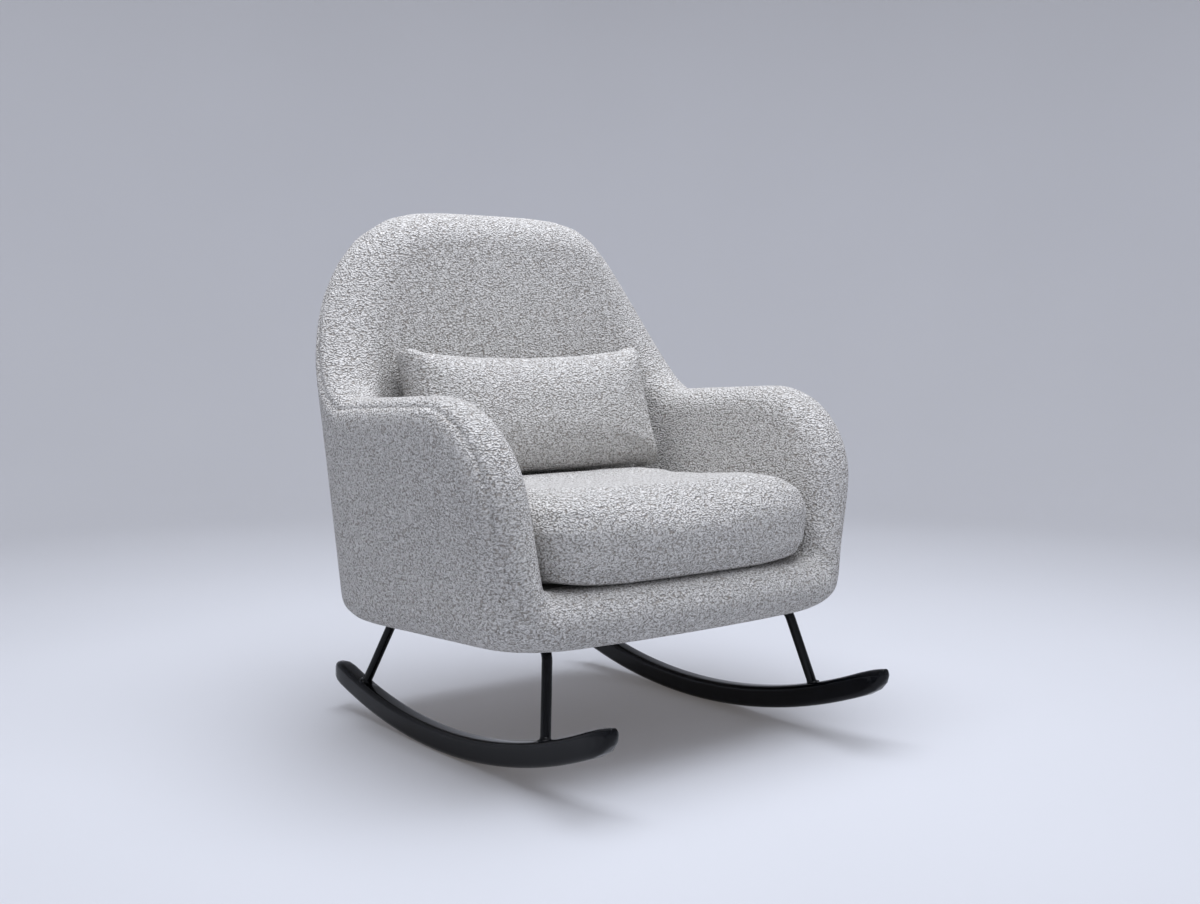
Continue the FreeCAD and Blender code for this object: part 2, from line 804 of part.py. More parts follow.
deck_half = base_side_x - 2 * rim_half - deck_side_clearance
deck_rear_y = back_base_y - 2 * back_base_half_thickness - deck_side_clearance
deck_front_y = rail_rear_y + layer_gap


def deck_layer(low, high):
    corners = [Vector(-deck_half, deck_front_y, low), Vector(deck_half, deck_front_y, low),
               Vector(deck_half, deck_rear_y, low), Vector(-deck_half, deck_rear_y, low)]
    outline = rounded_wire(corners, [0, 0, deck_corner_radius, deck_corner_radius])
    return Part.Face(outline).extrude(UP * (high - low))


cloth_low = rail_top_z - deck_cloth_thickness
save(raked(deck_layer(strap_top_z, cloth_low)), "deck_pad")
save(raked(deck_layer(cloth_low, rail_top_z)), "deck_cloth")
dust_cover = box(-recess_half_width + layer_gap, recess_half_width - layer_gap, recess_front_y + layer_gap,
                 recess_rear_y - layer_gap, board_bottom_z - dust_cover_thickness, board_bottom_z)
windows = [mounting_plate(x, y, base_clearance / 2) for x, y in plate_places]
save(raked(largest(dust_cover.cut(windows))), "dust_cover")

# Loose cushions: the seat cushion on the deck and rail, the pillow on it against the back.

cushion = cushion_body()
save(raked(cushion.cut(cushion_core(layer_gap))), "seat_cushion_cover")
save(raked(cushion_core(0)), "seat_cushion_core")

pillow_start = Vector(0, deck_rear_y - pillow_thickness, cushion_top_z + 3 * pillow_half_height)
pillow_place = FreeCAD.Placement(pillow_start, FreeCAD.Rotation(ACROSS, -pillow_lean))
back_inner_base = Vector(0, back_base_y - 2 * back_base_half_thickness, tub_base_z)
back_inner_top = Vector(0, back_top_y - back_top_half_thickness, back_line_z)
outer = pillow_body()
outer.Placement = pillow_place
outer = settle(outer, ALONG, tub, seat_gap)
outer = settle(outer, unit(back_inner_base - back_inner_top), cushion, seat_gap)
outer = settle(outer, ALONG, tub, seat_gap)
hollow = pillow_filling(layer_gap)
hollow.Placement = outer.Placement
filling = pillow_filling(0)
filling.Placement = outer.Placement
save(raked(outer.cut(hollow)), "pillow_cover")
save(raked(filling), "pillow_filling")
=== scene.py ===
import math

import bpy
import numpy as np
from mathutils import Matrix, Vector
from mathutils.bvhtree import BVHTree
from mathutils.kdtree import KDTree


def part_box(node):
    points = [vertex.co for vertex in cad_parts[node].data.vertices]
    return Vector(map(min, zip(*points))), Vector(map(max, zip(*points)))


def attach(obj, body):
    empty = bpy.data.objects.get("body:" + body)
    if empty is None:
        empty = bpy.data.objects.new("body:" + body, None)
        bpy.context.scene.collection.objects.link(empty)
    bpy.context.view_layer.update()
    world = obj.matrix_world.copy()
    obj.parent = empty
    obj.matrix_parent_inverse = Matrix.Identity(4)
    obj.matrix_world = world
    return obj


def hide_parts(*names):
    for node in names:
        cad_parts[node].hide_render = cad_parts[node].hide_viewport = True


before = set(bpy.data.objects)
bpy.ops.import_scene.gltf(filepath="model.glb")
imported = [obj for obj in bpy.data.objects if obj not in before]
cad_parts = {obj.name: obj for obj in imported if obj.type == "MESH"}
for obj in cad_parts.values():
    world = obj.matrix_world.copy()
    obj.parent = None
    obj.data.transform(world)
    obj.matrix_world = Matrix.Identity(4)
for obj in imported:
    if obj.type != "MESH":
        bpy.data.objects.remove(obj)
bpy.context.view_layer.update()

# Studio: a pale paper floor that sweeps up into a round backdrop, under one wide soft box,
# with the camera where the photographer stood.

camera_data = bpy.data.cameras.new("camera")
camera_data.sensor_width = 36.0
camera_data.lens = 42.0
camera = bpy.data.objects.new("camera", camera_data)
camera.location = (-1.432, -1.86525, 0.668)
camera.rotation_euler = (math.radians(90 - 4.76), 0, math.radians(-37.73))
bpy.context.collection.objects.link(camera)
bpy.context.scene.camera = camera
bpy.context.scene.view_settings.view_transform = "Standard"

floor_reach, cove_turn, wall_height = 3.0, 1.2, 4.6

bpy.ops.object.select_all(action="DESELECT")
bpy.ops.mesh.primitive_circle_add(vertices=96, radius=floor_reach, fill_type="NGON")
backdrop = bpy.context.object
backdrop.name = "backdrop"
bpy.ops.object.mode_set(mode="EDIT")
bpy.ops.mesh.select_mode(type="EDGE")
bpy.ops.mesh.select_all(action="SELECT")
bpy.ops.mesh.region_to_loop()
reach, rise = floor_reach, 0.0
for step in range(1, 10):
    turn = math.radians(10 * step)
    wide, high = floor_reach + cove_turn * math.sin(turn), cove_turn * (1 - math.cos(turn))
    bpy.ops.mesh.extrude_edges_move(TRANSFORM_OT_translate={"value": (0, 0, high - rise)})
    bpy.ops.transform.resize(value=(wide / reach, wide / reach, 1), center_override=(0, 0, 0))
    reach, rise = wide, high
bpy.ops.mesh.extrude_edges_move(TRANSFORM_OT_translate={"value": (0, 0, wall_height - rise)})
bpy.ops.object.mode_set(mode="OBJECT")
bpy.ops.object.shade_smooth()


def linear(code):
    """A colour written as an sRGB hex value, as linear light."""
    shares = [int(code[start:start + 2], 16) / 255 for start in (1, 3, 5)]
    return [s / 12.92 if s <= 0.04045 else ((s + 0.055) / 1.055) ** 2.4 for s in shares] + [1.0]


def new_material(name):
    """A node material with nothing in it yet."""
    material = bpy.data.materials.new(name)
    material.use_nodes = True
    material.node_tree.nodes.clear()
    return material


def add(material, kind, settings, links=()):
    """One node: settings go to its properties or sockets, links to its sockets."""
    node = material.node_tree.nodes.new("ShaderNode" + kind)
    for name, value in settings.items():
        if isinstance(name, str) and hasattr(node, name):
            setattr(node, name, value)
        else:
            node.inputs[name].default_value = value
    for socket, output in dict(links).items():
        material.node_tree.links.new(output, node.inputs[socket])
    return node


# Backdrop paper: matt and cool, a little cloudy where it was rolled, and glowing faintly so
# that the shadow under the chair stays light.
paper = new_material("studio_paper")
place = add(paper, "TexCoord", {})
clouds = add(paper, "TexNoise", {"Scale": 1 / 0.9, "Detail": 1.0}, {"Vector": place.outputs["Object"]})
tint = add(paper, "Mix", {"data_type": "RGBA", 6: linear("#C8CBD2"), 7: linear("#CED1D8")},
           {0: clouds.outputs["Fac"]})
matt = add(paper, "BsdfPrincipled", {"Roughness": 0.9, "Specular IOR Level": 0.2,
                                     "Emission Color": linear("#FFF4EA"), "Emission Strength": 0.08},
           {"Base Color": tint.outputs[2]})
add(paper, "OutputMaterial", {}, {"Surface": matt.outputs[0]})
backdrop.data.materials.append(paper)

world = bpy.data.worlds.new("studio")
world.use_nodes = True
world.node_tree.nodes["Background"].inputs["Color"].default_value = linear("#D6DADF")
world.node_tree.nodes["Background"].inputs["Strength"].default_value = 0.35
bpy.context.scene.world = world

# A lamp behind a wide white cloth hangs over the chair and lights it a little cool.
lamp_spot, lamp_aim = Vector((0.05, -0.12, 3.0)), Vector((0, 0, 0.3))
soft_box = bpy.data.lights.new("overhead", "AREA")
soft_box.shape = "RECTANGLE"
soft_box.size, soft_box.size_y = 2.8, 2.8
soft_box.energy = 110
soft_box.color = linear("#F4F7FF")[:3]
lamp = bpy.data.objects.new("overhead", soft_box)
lamp.location = lamp_spot
lamp.rotation_euler = (lamp_aim - lamp_spot).to_track_quat("-Z", "Y").to_euler()
bpy.context.collection.objects.link(lamp)

# Runners: bent laminated wood, sanded round on every edge and sprayed with black lacquer,
# with the feet of the rods let into their tops.


def only(*pieces):
    """Leaves these pieces selected, the first of them active."""
    bpy.ops.object.select_all(action="DESELECT")
    for piece in pieces:
        piece.select_set(True)
    bpy.context.view_layer.objects.active = pieces[0]


def merged_copy(node, name):
    """A copy of a solid with its triangles joined."""
    piece = bpy.data.objects.new(name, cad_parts[node].data.copy())
    bpy.context.collection.objects.link(piece)
    piece.data.materials.clear()
    only(piece)
    bpy.ops.object.mode_set(mode="EDIT")
    bpy.ops.mesh.select_all(action="SELECT")
    bpy.ops.mesh.remove_doubles(threshold=0.00002)
    bpy.ops.object.mode_set(mode="OBJECT")
    return piece


def polished(piece, angle):
    """Round faces shaded round and flat ones flat."""
    only(piece)
    bpy.ops.object.shade_smooth_by_angle(angle=math.radians(angle))
    even = piece.modifiers.new("even_normals", "WEIGHTED_NORMAL")
    even.weight = 80
    even.keep_sharp = True
    bpy.ops.object.modifier_apply(modifier=even.name)


# Black lacquer: near black with soft blue-grey reflections, and the faint waves of spraying.
lacquer = new_material("black_lacquer")
place = add(lacquer, "TexCoord", {})
spray = add(lacquer, "TexNoise", {"Scale": 1 / 0.006, "Detail": 1.0}, {"Vector": place.outputs["Object"]})
film = add(lacquer, "MapRange", {"To Min": 0.13, "To Max": 0.19}, {"Value": spray.outputs["Fac"]})
waves = add(lacquer, "Bump", {"Strength": 0.08, "Distance": 0.0001}, {"Height": spray.outputs["Fac"]})
depth = add(lacquer, "Mix", {"data_type": "RGBA", 6: linear("#050609"), 7: linear("#080A0F")},
            {0: spray.outputs["Fac"]})
gloss = add(lacquer, "BsdfPrincipled", {"Specular IOR Level": 0.18, "Coat Weight": 0.06,
                                        "Coat Roughness": 0.06},
            {"Base Color": depth.outputs[2], "Roughness": film.outputs["Result"],
             "Normal": waves.outputs[0]})
add(lacquer, "OutputMaterial", {}, {"Surface": gloss.outputs[0]})

for side in ("left", "right"):
    runner = merged_copy("runner_" + side, "runner_lacquered_" + side)
    polished(runner, 50)
    runner.data.materials.append(lacquer)
    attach(runner, "chair")
    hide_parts("runner_" + side)

# Side rods: round steel bar, bent cold into two struts and a rail, glued into the runners
# with a fillet of filler round each foot, and coated black.

enamel = new_material("black_enamel")
place = add(enamel, "TexCoord", {})
grit = add(enamel, "TexNoise", {"Scale": 1 / 0.002, "Detail": 1.0}, {"Vector": place.outputs["Object"]})
film = add(enamel, "MapRange", {"To Min": 0.18, "To Max": 0.28}, {"Value": grit.outputs["Fac"]})
grain = add(enamel, "Bump", {"Strength": 0.2, "Distance": 0.0001}, {"Height": grit.outputs["Fac"]})
depth = add(enamel, "Mix", {"data_type": "RGBA", 6: linear("#050608"), 7: linear("#080A0E")},
            {0: grit.outputs["Fac"]})
coat = add(enamel, "BsdfPrincipled", {"Specular IOR Level": 0.18, "Coat Weight": 0.06,
                                      "Coat Roughness": 0.1},
           {"Base Color": depth.outputs[2], "Roughness": film.outputs["Result"],
            "Normal": grain.outputs[0]})
add(enamel, "OutputMaterial", {}, {"Surface": coat.outputs[0]})

rod_radius, socket_depth = 0.008, 0.018
ring_height, ring_apart, fillet_top = 0.012, 0.03, 0.0055
fillet_rings = [(0.0086, 0.0024), (0.0098, 0.0009), (0.0125, -0.0004), (0.0125, -0.004)]


def rod_foot(rod, front):
    """Where a rod meets the top of its runner, and the way it runs up from there."""
    points = np.array([v.co for v in rod.data.vertices])
    half = points[(points[:, 1] < 0) == front]
    low_ring = half[half[:, 2] < half[:, 2].min() + ring_height]
    rest = half[half[:, 2] > half[:, 2].min() + ring_apart]
    next_ring = rest[rest[:, 2] < rest[:, 2].min() + ring_height]
    end, higher = Vector(low_ring.mean(0)), Vector(next_ring.mean(0))
    way = (higher - end).normalized()
    return end + way * socket_depth, way


for side in ("left", "right"):
    rod = merged_copy("side_rod_" + side, "rod_coated_" + side)
    for end_name, front in (("front", True), ("rear", False)):
        foot, way = rod_foot(rod, front)
        bpy.ops.object.select_all(action="DESELECT")
        bpy.ops.mesh.primitive_circle_add(vertices=40, radius=rod_radius, location=(0, 0, fillet_top))
        fillet = bpy.context.object
        fillet.name = "foot_fillet_" + end_name + "_" + side
        bpy.ops.object.transform_apply(location=True)
        bpy.ops.object.mode_set(mode="EDIT")
        bpy.ops.mesh.select_all(action="SELECT")
        last_reach, last_rise = rod_radius, fillet_top
        for wide, high in fillet_rings:
            bpy.ops.mesh.extrude_edges_move(TRANSFORM_OT_translate={"value": (0, 0, high - last_rise)})
            bpy.ops.transform.resize(value=(wide / last_reach, wide / last_reach, 1),
                                     center_override=(0, 0, 0))
            last_reach, last_rise = wide, high
        bpy.ops.mesh.select_all(action="SELECT")
        bpy.ops.mesh.normals_make_consistent(inside=False)
        bpy.ops.object.mode_set(mode="OBJECT")
        fillet.matrix_world = Matrix.Translation(foot) @ way.to_track_quat("Z", "Y").to_matrix().to_4x4()
        bpy.ops.object.transform_apply(location=True, rotation=True)
        bpy.ops.object.shade_smooth()
        fillet.data.materials.append(enamel)
        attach(fillet, "chair")
    polished(rod, 40)
    rod.data.materials.append(enamel)
    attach(rod, "chair")
    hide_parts("side_rod_" + side)

# Mounting plates: flat steel welded on top of the rods, black like them, each held to a side
# board by two hexagon bolts with washers.

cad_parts["mounting_plates"].data.materials.clear()
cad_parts["mounting_plates"].data.materials.append(enamel)

seat_tilt = math.radians(3)
bolt_across, bolt_height, bolt_bevel = 0.010, 0.0042, 0.0006
washer_radius, washer_height, washer_bevel = 0.0075, 0.0012, 0.0003
bolt_offsets = [(-0.0165, -0.018), (0.0165, 0.018)]

bpy.ops.object.select_all(action="DESELECT")
bpy.ops.mesh.primitive_cylinder_add(vertices=6, radius=bolt_across / math.sqrt(3), depth=bolt_height,
                                    location=(0, 0, -washer_height - bolt_height / 2))
bolt = bpy.context.object
bpy.ops.object.mode_set(mode="EDIT")
bpy.ops.mesh.select_all(action="SELECT")
bpy.ops.mesh.bevel(offset=bolt_bevel, segments=2, affect="EDGES")
bpy.ops.object.mode_set(mode="OBJECT")
bpy.ops.object.select_all(action="DESELECT")
bpy.ops.mesh.primitive_cylinder_add(vertices=28, radius=washer_radius, depth=washer_height,
                                    location=(0, 0, -washer_height / 2))
washer = bpy.context.object
bpy.ops.object.mode_set(mode="EDIT")
bpy.ops.mesh.select_all(action="SELECT")
bpy.ops.mesh.bevel(offset=washer_bevel, segments=2, affect="EDGES")
bpy.ops.object.mode_set(mode="OBJECT")
only(bolt, washer)
bpy.ops.object.transform_apply(location=True)
bpy.ops.object.join()
bpy.ops.object.shade_smooth_by_angle(angle=math.radians(35))

# Zinc-plated steel: bright, a little blue, with faint tool marks.
zinc = new_material("zinc_plated_steel")
place = add(zinc, "TexCoord", {})
marks = add(zinc, "TexNoise", {"Scale": 1 / 0.0015, "Detail": 2.0}, {"Vector": place.outputs["Object"]})
worn = add(zinc, "MapRange", {"To Min": 0.28, "To Max": 0.5}, {"Value": marks.outputs["Fac"]})
plated = add(zinc, "BsdfPrincipled", {"Base Color": linear("#B9BCC0"), "Metallic": 1.0},
             {"Roughness": worn.outputs["Result"]})
add(zinc, "OutputMaterial", {}, {"Surface": plated.outputs[0]})
bolt.data.materials.append(zinc)

plate_points = np.array([v.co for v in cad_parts["mounting_plates"].data.vertices])
plate_down = np.array([0, -math.sin(seat_tilt), -math.cos(seat_tilt)])
middle_y, face_slack = np.median(plate_points[:, 1]), 0.0005
bolt_copies = []
for x_sign in (-1, 1):
    for front in (True, False):
        own = plate_points[(plate_points[:, 0] * x_sign > 0) & ((plate_points[:, 1] < middle_y) == front)]
        face = own[own @ plate_down > (own @ plate_down).max() - face_slack].mean(0)
        for across, along in bolt_offsets:
            spot = Vector(face) + Vector((across, along * math.cos(seat_tilt),
                                          -along * math.sin(seat_tilt)))
            copy = bpy.data.objects.new("bolt", bolt.data.copy())
            bpy.context.collection.objects.link(copy)
            copy.matrix_world = Matrix.Translation(spot) @ Matrix.Rotation(-seat_tilt, 4, "X")
            bolt_copies.append(copy)
bpy.data.objects.remove(bolt)
only(*bolt_copies)
bpy.ops.object.transform_apply(location=True, rotation=True)
bpy.ops.object.join()
bolts = bpy.context.object
bolts.name = "plate_bolts"
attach(bolts, "chair")

# Seat frame: planed beech boards with glued corner blocks, and beech cleats that hold the
# plywood panels of the arms and back. All of it is raw and hidden by the padding.


def raw_wood(name, pale, dark, scale):
    """Bare wood: long pale streaks along the grain, with short darker flecks."""
    material = new_material(name)
    place = add(material, "TexCoord", {})
    along = add(material, "Mapping", {"Scale": scale}, {"Vector": place.outputs["Object"]})
    streaks = add(material, "TexNoise", {"Scale": 1.0, "Detail": 4.0, "Distortion": 0.6},
                  {"Vector": along.outputs[0]})
    rings = add(material, "Mix", {"data_type": "RGBA", 6: linear(dark), 7: linear(pale)},
                {0: streaks.outputs["Fac"]})
    pores = add(material, "Bump", {"Strength": 0.3, "Distance": 0.0003}, {"Height": streaks.outputs["Fac"]})
    wood = add(material, "BsdfPrincipled", {"Roughness": 0.7, "Specular IOR Level": 0.3},
               {"Base Color": rings.outputs[2], "Normal": pores.outputs[0]})
    add(material, "OutputMaterial", {}, {"Surface": wood.outputs[0]})
    return material


grain_width, grain_length = 0.006, 0.15
beech_along_x = raw_wood("raw_beech_crosswise", "#D8B98F", "#B28D60",
                         (1 / grain_length, 1 / grain_width, 1 / grain_width))
beech_along_y = raw_wood("raw_beech_lengthwise", "#D8B98F", "#B28D60",
                         (1 / grain_width, 1 / grain_length, 1 / grain_width))
birch_ply = raw_wood("birch_plywood", "#DCC39C", "#BFA177",
                     (1 / grain_width, 1 / grain_width, 1 / grain_length))
frame_woods = {"front_board": beech_along_x, "rear_board": beech_along_x, "back_cleat": beech_along_x,
               "corner_blocks": beech_along_x, "side_board_left": beech_along_y,
               "side_board_right": beech_along_y, "arm_cleat_left": beech_along_y,
               "arm_cleat_right": beech_along_y, "arm_panel_left": birch_ply,
               "arm_panel_right": birch_ply, "back_panel": birch_ply}
for node, wood in frame_woods.items():
    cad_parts[node].data.materials.clear()
    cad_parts[node].data.materials.append(wood)

# Webbing: elastic upholstery straps, woven in a plain rib, stretched over the boards under
# the deck and tacked down.

webbing = new_material("elastic_webbing")
place = add(webbing, "TexCoord", {})
ribs = add(webbing, "TexWave", {"Scale": 1 / 0.004, "Distortion": 0.3, "bands_direction": "DIAGONAL"},
           {"Vector": place.outputs["Object"]})
yarns = add(webbing, "Mix", {"data_type": "RGBA", 6: linear("#1C1B1A"), 7: linear("#3A3733")},
            {0: ribs.outputs["Fac"]})
relief = add(webbing, "Bump", {"Strength": 0.5, "Distance": 0.0006}, {"Height": ribs.outputs["Fac"]})
strap = add(webbing, "BsdfPrincipled", {"Roughness": 0.85},
            {"Base Color": yarns.outputs[2], "Normal": relief.outputs[0]})
add(webbing, "OutputMaterial", {}, {"Surface": strap.outputs[0]})
for node in ("webbing_lengthwise", "webbing_crosswise"):
    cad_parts[node].data.materials.clear()
    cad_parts[node].data.materials.append(webbing)

# Body: one padded shell of arms, back and front rail, foam over the timber frame, covered in
# looped wool cloth that is drawn tight and sewn along the outer shoulders.

body_grain = 0.006
rear_corner_x, rear_corner_y = 0.147, 0.110
seam_turn, seam_least_up, seam_least_z, seam_front_y = 42.0, -0.3, 0.36, -0.16
split_reaches = (0.010, 0.005)
seam_depth, seam_width, seam_swell, swell_width = 0.0028, 0.0045, 0.0006, 0.012


def skin(name, nodes, grain):
    """One closed skin round copies of the solids, as the cover goes round the frame."""
    copies = []
    for node in nodes:
        copy = bpy.data.objects.new(name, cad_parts[node].data.copy())
        bpy.context.collection.objects.link(copy)
        copies.append(copy)
    only(*copies)
    if len(copies) > 1:
        bpy.ops.object.join()
    piece = bpy.context.object
    piece.name = name
    piece.data.materials.clear()
    bpy.ops.object.mode_set(mode="EDIT")
    bpy.ops.mesh.select_all(action="SELECT")
    bpy.ops.mesh.remove_doubles(threshold=0.00002)
    bpy.ops.mesh.normals_make_consistent(inside=False)
    bpy.ops.object.mode_set(mode="OBJECT")
    remesh = piece.modifiers.new("voxels", "REMESH")
    remesh.mode = "VOXEL"
    remesh.voxel_size = grain
    bpy.ops.object.modifier_apply(modifier=remesh.name)
    return piece


def relaxed(piece, rounds, zone=None):
    """Evens out the steps of the remeshing, all over or as far as each point lies in a zone."""
    only(piece)
    smooth = piece.modifiers.new("relax", "SMOOTH")
    smooth.factor = 0.5
    smooth.iterations = rounds
    if zone is not None:
        group = piece.vertex_groups.new(name="zone")
        for index in np.nonzero(zone > 0.05)[0]:
            group.add([int(index)], float(zone[index]), "REPLACE")
        smooth.vertex_group = group.name
    bpy.ops.object.modifier_apply(modifier=smooth.name)
    piece.vertex_groups.clear()
    bpy.ops.object.shade_smooth()


def points_of(piece):
    """The places and normals of a mesh's points."""
    places = np.empty(len(piece.data.vertices) * 3)
    normals = np.empty(len(piece.data.vertices) * 3)
    piece.data.vertices.foreach_get("co", places)
    piece.data.vertices.foreach_get("normal", normals)
    return places.reshape(-1, 3), normals.reshape(-1, 3)


def move_points(piece, places):
    """Puts a mesh's points at new places."""
    piece.data.vertices.foreach_set("co", places.ravel())
    piece.data.update()


body = skin("body_cover", ["tub_padding", "border_padding", "side_board_left", "side_board_right",
                           "front_board", "rear_board", "corner_blocks", "arm_panel_left",
                           "arm_panel_right", "arm_cleat_left", "arm_cleat_right", "back_panel",
                           "back_cleat"], body_grain)

# The foot of each arm is drawn in to the round corner of the rail below it, and the padding
# runs over the joint between them, so no step shows.
rail_corner_x, rail_corner_y, rail_corner_radius = 0.242, -0.169, 0.120
foot_top, foot_low, foot_rear_y, foot_fade = 0.44, 0.255, 0.05, 0.15
joint_z, joint_spread, joint_side_x, front_y = 0.265, 0.03, 0.285, -0.15
places, normals = points_of(body)
over = np.stack([np.sign(places[:, 0]) * np.maximum(np.abs(places[:, 0]) - rail_corner_x, 0),
                 np.minimum(places[:, 1] - rail_corner_y, 0)], axis=1)
reach = np.linalg.norm(over, axis=1)
pull = np.clip((foot_top - places[:, 2]) / (foot_top - foot_low), 0, 1)
pull = pull ** 2 * (3 - 2 * pull) * np.clip((foot_rear_y - places[:, 1]) / foot_fade, 0, 1)
pull *= np.maximum(reach - rail_corner_radius, 0) / np.maximum(reach, 1e-9) * (over[:, 0] != 0)
places[:, :2] -= over * pull[:, None]
move_points(body, places)
relaxed(body, 10)
places, normals = points_of(body)
joint_zone = np.exp(-((places[:, 2] - joint_z) / joint_spread) ** 2)
joint_zone *= (np.abs(places[:, 0]) > joint_side_x) & (places[:, 1] < front_y)
relaxed(body, 16, joint_zone)

# Inside, the padding fills the corner where each arm stands on the front rail.
inner_x, inner_z, inner_spread, inner_end_x = 0.268, 0.286, 0.03, 0.30
places, normals = points_of(body)
inner_zone = np.exp(-(((np.abs(places[:, 0]) - inner_x) / inner_spread) ** 2
                      + ((places[:, 2] - inner_z) / inner_spread) ** 2))
inner_zone *= (places[:, 1] < front_y) & (np.abs(places[:, 0]) < inner_end_x)
relaxed(body, 30, inner_zone)

# The seam follows the line where the cover has turned a set angle away from the outer side.
places, normals = points_of(body)
away = np.stack([np.sign(places[:, 0]) * np.maximum(np.abs(places[:, 0]) - rear_corner_x, 0),
                 np.maximum(places[:, 1] - rear_corner_y, 0)], axis=1)
away[(away == 0).all(axis=1)] = (0, 1)
away /= np.linalg.norm(away, axis=1)[:, None]
turned = np.degrees(np.arccos(np.clip((normals[:, :2] * away).sum(axis=1), -1, 1)))


def sewn_line(piece, values, level, allowed):
    """The line on a cover where a value passes a level, as points to measure from."""
    places, normals = points_of(piece)
    edges = np.empty(len(piece.data.edges) * 2, dtype=np.int32)
    piece.data.edges.foreach_get("vertices", edges)
    edges = edges.reshape(-1, 2)
    first, second = values[edges[:, 0]], values[edges[:, 1]]
    crossed = ((first - level) * (second - level) < 0) & allowed[edges[:, 0]]
    share = ((level - first[crossed]) / (second - first)[crossed])[:, None]
    line = places[edges[crossed, 0]] * (1 - share) + places[edges[crossed, 1]] * share
    tree = KDTree(len(line))
    for index, point in enumerate(line):
        tree.insert(Vector(point), index)
    tree.balance()
    return tree


def apart_from(line, piece):
    """How far each point of a cover lies from a sewn line."""
    return np.array([line.find(v.co)[2] for v in piece.data.vertices])


def finer_near(piece, line, reach):
    """Splits the faces along a sewn line."""
    near = apart_from(line, piece) < reach
    only(piece)
    bpy.ops.object.mode_set(mode="EDIT")
    bpy.ops.mesh.select_mode(type="VERT")
    bpy.ops.mesh.select_all(action="DESELECT")
    bpy.ops.object.mode_set(mode="OBJECT")
    piece.data.vertices.foreach_set("select", near)
    bpy.ops.object.mode_set(mode="EDIT")
    bpy.ops.mesh.select_mode(type="FACE")
    bpy.ops.mesh.subdivide(number_cuts=1, smoothness=0.0)
    bpy.ops.object.mode_set(mode="OBJECT")


shoulder = sewn_line(body, turned, seam_turn, (normals[:, 2] > seam_least_up)
                     & ((places[:, 2] > seam_least_z) | (places[:, 1] < seam_front_y)))
for reach in split_reaches:
    finer_near(body, shoulder, reach)
places, normals = points_of(body)
apart = apart_from(shoulder, body)
dip = (seam_swell * np.exp(-((apart - swell_width) / (0.6 * swell_width)) ** 2)
       - seam_depth * np.exp(-(apart / seam_width) ** 2))
move_points(body, places + normals * dip[:, None])
only(body)
bpy.ops.object.shade_smooth()

# Looped wool cloth: short curled loops of yarn in loose level rows, pale on their tops with
# warm grey painted shade between, and single loops lighter or darker than their neighbours.
loop_width, loop_height = 0.0037, 0.0029


def loop_cloth(name, pale, deep):
    """Looped cloth of one yarn, pale where it stands out and deep where it lies in shade."""
    material = new_material(name)
    place = add(material, "TexCoord", {})
    drift = add(material, "TexNoise", {"Scale": 1 / 0.016, "Detail": 2.0},
                {"Vector": place.outputs["Object"]})
    swing = add(material, "VectorMath", {"operation": "MULTIPLY_ADD", 1: (0.010, 0.010, 0.006),
                                         2: (-0.005, -0.005, -0.003)},
                {0: drift.outputs["Color"]})
    moved = add(material, "VectorMath", {"operation": "ADD"},
                {0: place.outputs["Object"], 1: swing.outputs[0]})
    rows = add(material, "VectorMath", {"operation": "MULTIPLY",
                                        1: (1 / loop_width, 1 / loop_width, 1 / loop_height)},
               {0: moved.outputs[0]})
    loops = add(material, "TexVoronoi", {"feature": "SMOOTH_F1", "Scale": 1.0, "Smoothness": 0.4,
                                         "Randomness": 1.0}, {"Vector": rows.outputs[0]})
    nub = add(material, "MapRange", {"interpolation_type": "SMOOTHSTEP", "From Min": 0.15, "From Max": 0.92,
                                     "To Min": 1.0, "To Max": 0.0}, {"Value": loops.outputs["Distance"]})
    fibre = add(material, "TexNoise", {"Scale": 1 / 0.0024, "Detail": 2.0},
                {"Vector": place.outputs["Object"]})
    height = add(material, "Math", {"operation": "MULTIPLY_ADD", 1: 0.6},
                 {0: fibre.outputs["Fac"], 2: nub.outputs["Result"]})
    bump = add(material, "Bump", {"Strength": 1.0, "Distance": 0.0050}, {"Height": height.outputs[0]})
    # Painted shade: the colour darkens to the deep one where the loops lie low, between them, and stays
    # pale on their tops.
    painted_shade_share = add(material, "MapRange", {"From Min": 0.2, "From Max": 0.95, "To Min": 0.0, "To Max": 1.0},
               {"Value": height.outputs[0]})
    speckle = add(material, "MapRange", {"From Min": 0.0, "From Max": 1.0, "To Min": 0.94, "To Max": 1.03},
                  {"Value": loops.outputs["Color"]})
    yarn = add(material, "Mix", {"data_type": "RGBA", 6: linear(deep), 7: linear(pale)},
               {0: painted_shade_share.outputs["Result"]})
    yarn_shaded_and_speckled = add(material, "VectorMath", {"operation": "SCALE"},
               {0: yarn.outputs[2], "Scale": speckle.outputs["Result"]})
    cloth = add(material, "BsdfPrincipled", {"Roughness": 0.95, "Specular IOR Level": 0.15,
                                             "Sheen Weight": 0.12, "Sheen Roughness": 0.6},
                {"Base Color": yarn_shaded_and_speckled.outputs[0], "Normal": bump.outputs[0]})
    add(material, "OutputMaterial", {}, {"Surface": cloth.outputs[0]})
    return material


# The second colour is painted shade for the hollows between the loops.
boucle = loop_cloth("boucle_wool", "#F8F6F3", "#958D85")
body.data.materials.append(boucle)
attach(body, "chair")
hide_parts("tub_padding", "border_padding")

# Seat deck: a foam pad on the webbing inside the body, under a plain cotton cloth that is
# drawn over it, which the loose cushion lies on.

deck_grain = 0.006
deck = skin("seat_deck", ["deck_pad", "deck_cloth"], deck_grain)
relaxed(deck, 4)

